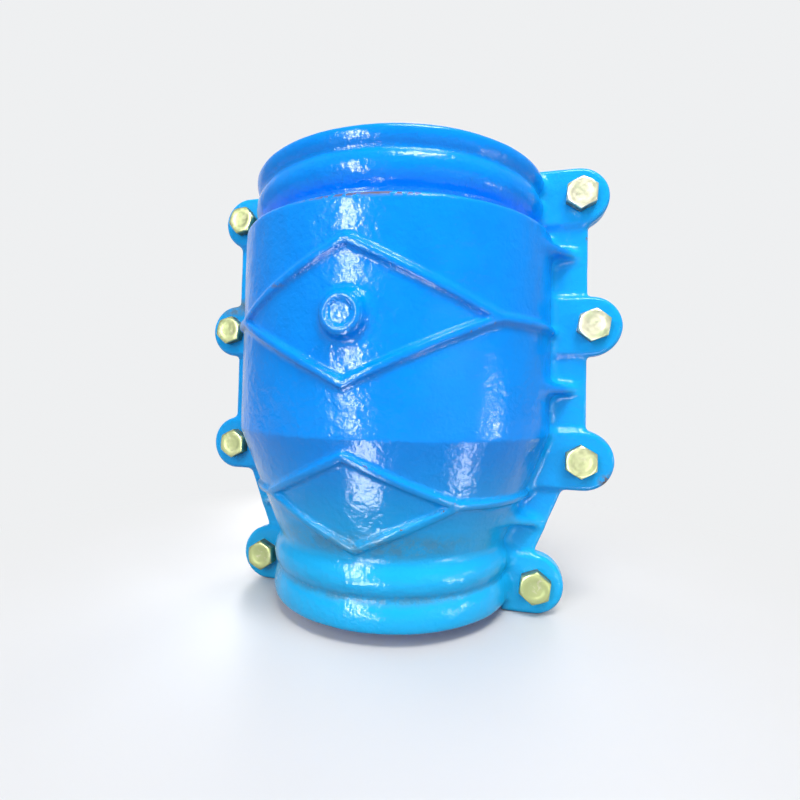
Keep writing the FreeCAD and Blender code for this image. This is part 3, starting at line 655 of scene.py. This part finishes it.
fasten()
front_mesh = finish_shell(cast_shell())
rear_mesh = front_mesh.copy()
rear_mesh.transform(Matrix.Rotation(math.pi, 4, "Z"))
place("front_casting", front_mesh, "front_half", "front_shell", coating)
place("rear_casting", rear_mesh, "rear_half", "rear_shell", coating)

for name in ("front_gasket", "rear_gasket"):
    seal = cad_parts[name].data
    seal.materials.clear()
    seal.materials.append(rubber)

# ---------------------------------------------------------------- floor, light and camera
VIEW = 15.2  # the photograph's azimuth, in degrees
AIM = (0, 0, 0.17)  # the middle of the clamp
# Lamps: azimuth from the photograph's, elevation, distance, width, height, power in watts, and for
# the second group a lean in degrees. The first light the clamp and can't be mirrored. The second
# are only what the paint and the zinc mirror: tall windows and a skylight.
FILLS = {
    "key": (-31, 20, 1.6, 0.7, 1.0, 11),
    "overhead": (16, 58, 1.6, 0.8, 0.5, 20),
    "front_fill": (40, 4, 2.0, 1.6, 0.44, 12),
    "rear_fill_left": (150, 18, 1.8, 1.0, 1.0, 15),
    "rear_fill_right": (232, 12, 1.8, 1.0, 0.7, 11),
}
WINDOWS = {
    "left_window": (-31, 10, 1.5, 0.17, 1.15, 28, 11),
    "right_window": (67, -6, 1.5, 0.09, 0.22, 3.4, 0),
    "skylight": (17, 60, 1.6, 0.62, 0.34, 21, 0),
    "rear_window": (196, 12, 1.6, 0.25, 1.1, 25, 0),
}
# Two strips that lie by the clamp's foot facing up and put a gleam on the cone, as pale ground
# would: azimuth from the photograph's, width, length, power.
STRIPS = {"low_left": (-17, 0.05, 0.26, 1.0), "low_right": (43, 0.03, 0.22, 0.42)}
STRIP_OUT, STRIP_UP = 0.29, 0.006


def backdrop():
    """A pale floor that curves up into a pale wall behind the clamp."""
    turn, wall, side, front = 1.2, 4.0, 4.6, 6.0
    profile = [(-front, 0.0)] + [
        (wall - turn + turn * math.sin(a), turn - turn * math.cos(a))
        for a in np.linspace(0, math.pi / 2, 25)] + [(wall, 5.0)]
    across = (-side, side)
    turned = Matrix.Rotation(math.radians(VIEW), 3, "Z")
    corners = [turned @ Vector((x, y, z)) for y, z in profile for x in across]
    faces = [(2 * n, 2 * n + 1, 2 * n + 3, 2 * n + 2) for n in range(len(profile) - 1)]
    mesh = bpy.data.meshes.new("floor")
    mesh.from_pydata(corners, [], faces)
    mesh.polygons.foreach_set("use_smooth", np.ones(len(faces), bool))
    floor = bpy.data.objects.new("floor", mesh)
    bpy.context.scene.collection.objects.link(floor)
    f = Finish("floor_paint", Roughness=0.6)
    pale, paler = (0.70, 0.69, 0.68, 1), (0.73, 0.72, 0.71, 1)
    f.set(Base_Color=f.mix(f.fit(f.noise(3, 3), 0.3, 0.7), pale, paler))
    # Towards the horizon the floor and wall turn into a flat near-white. Only what is seen or
    # mirrored shows them at full paleness, so little light comes up from below.
    fades_from, fades_to = 0.09, 0.46
    nodes, links = f.tree.nodes, f.tree.links
    distance = nodes.new("ShaderNodeVectorMath")
    distance.operation = "LENGTH"
    links.new(f.where, distance.inputs[0])
    white = nodes.new("ShaderNodeEmission")
    white.inputs["Color"].default_value = (0.86, 0.87, 0.88, 1)
    seen = nodes.new("ShaderNodeMixShader")
    links.new(f.fit(distance.outputs["Value"], fades_from, fades_to), seen.inputs["Fac"])
    links.new(f.shader.outputs[0], seen.inputs[1])
    links.new(white.outputs[0], seen.inputs[2])
    dark = nodes.new("ShaderNodeBsdfDiffuse")
    dark.inputs["Color"].default_value = (0.20, 0.21, 0.22, 1)
    path = nodes.new("ShaderNodeLightPath")
    direct = f.math("MAXIMUM", path.outputs["Is Camera Ray"], path.outputs["Is Glossy Ray"])
    direct = f.math("MAXIMUM", direct, path.outputs["Is Transmission Ray"])
    shown = nodes.new("ShaderNodeMixShader")
    links.new(direct, shown.inputs["Fac"])
    links.new(dark.outputs[0], shown.inputs[1])
    links.new(seen.outputs[0], shown.inputs[2])
    links.new(shown.outputs[0], nodes["Material Output"].inputs["Surface"])
    mesh.materials.append(f.material)


def lamp(name, azimuth, elevation, distance, width, height, power, lean=0.0, aim=AIM):
    data = bpy.data.lights.new(name, "AREA")
    data.shape = "RECTANGLE"
    data.size, data.size_y, data.energy = width, height, power
    a, e = math.radians(azimuth), math.radians(elevation)
    back = Vector((math.sin(a) * math.cos(e), -math.cos(a) * math.cos(e), math.sin(e)))
    panel = bpy.data.objects.new(name, data)
    panel.location = Vector(aim) + back * distance
    panel.rotation_mode = "QUATERNION"
    panel.rotation_quaternion = back.to_track_quat("Z", "Y") @ (
        Matrix.Rotation(math.radians(lean), 3, "Z").to_quaternion())
    bpy.context.scene.collection.objects.link(panel)
    return panel


def sky():
    """A plain grey world, for what little the floor and the lamps leave dark."""
    world = bpy.data.worlds.new("studio")
    bpy.context.scene.world = world
    world.use_nodes = True
    tree = world.node_tree
    tree.nodes["Background"].inputs["Color"].default_value = (0.30, 0.32, 0.35, 1)


def photo_camera():
    """The camera as fitted to the photograph: 800 x 800, lens and shift in pixels of it."""
    azimuth, elevation, roll = 0.265466171, -0.0306000454, 0.0234531337
    distance, focal, centre_across, centre_up = 394.451128, 482.620764, -3.47304169, -18.8444008
    pixels, sensor = 800, 36.0
    back = Vector((math.sin(azimuth) * math.cos(elevation),
                   -math.cos(azimuth) * math.cos(elevation), math.sin(elevation)))
    eye = (Vector((0, 0, 170)) + back * distance) * MM
    level = (-back).cross(Vector((0, 0, 1))).normalized()
    steep = level.cross(-back)
    right = math.cos(roll) * level + math.sin(roll) * steep
    up = math.cos(roll) * steep - math.sin(roll) * level
    data = bpy.data.cameras.new("photo_camera")
    data.sensor_width = sensor
    data.lens = focal * sensor / pixels
    data.shift_x, data.shift_y = -centre_across / pixels, centre_up / pixels
    data.clip_start, data.clip_end = 0.01, 100
    camera = bpy.data.objects.new("photo_camera", data)
    camera.matrix_world = Matrix((right, up, back)).transposed().to_4x4()
    camera.location = eye
    bpy.context.scene.collection.objects.link(camera)
    bpy.context.scene.camera = camera


backdrop()
sky()
for name, (azimuth, *rest) in FILLS.items():
    lamp(name, VIEW + azimuth, *rest).visible_glossy = False
for name, (azimuth, *rest) in WINDOWS.items():
    lamp(name, VIEW + azimuth, *rest).visible_diffuse = False
for name, (azimuth, *rest) in STRIPS.items():
    azimuth += VIEW
    panel = lamp(name, azimuth, 0, STRIP_OUT, *rest, aim=(0, 0, STRIP_UP))
    panel.rotation_quaternion = Matrix.Rotation(math.radians(azimuth), 3, "Z").to_quaternion() @ (
        Matrix.Rotation(math.pi, 3, "X").to_quaternion())
    panel.visible_camera = False
    panel.visible_diffuse = False
photo_camera()
bpy.context.scene.view_settings.view_transform = "Standard"
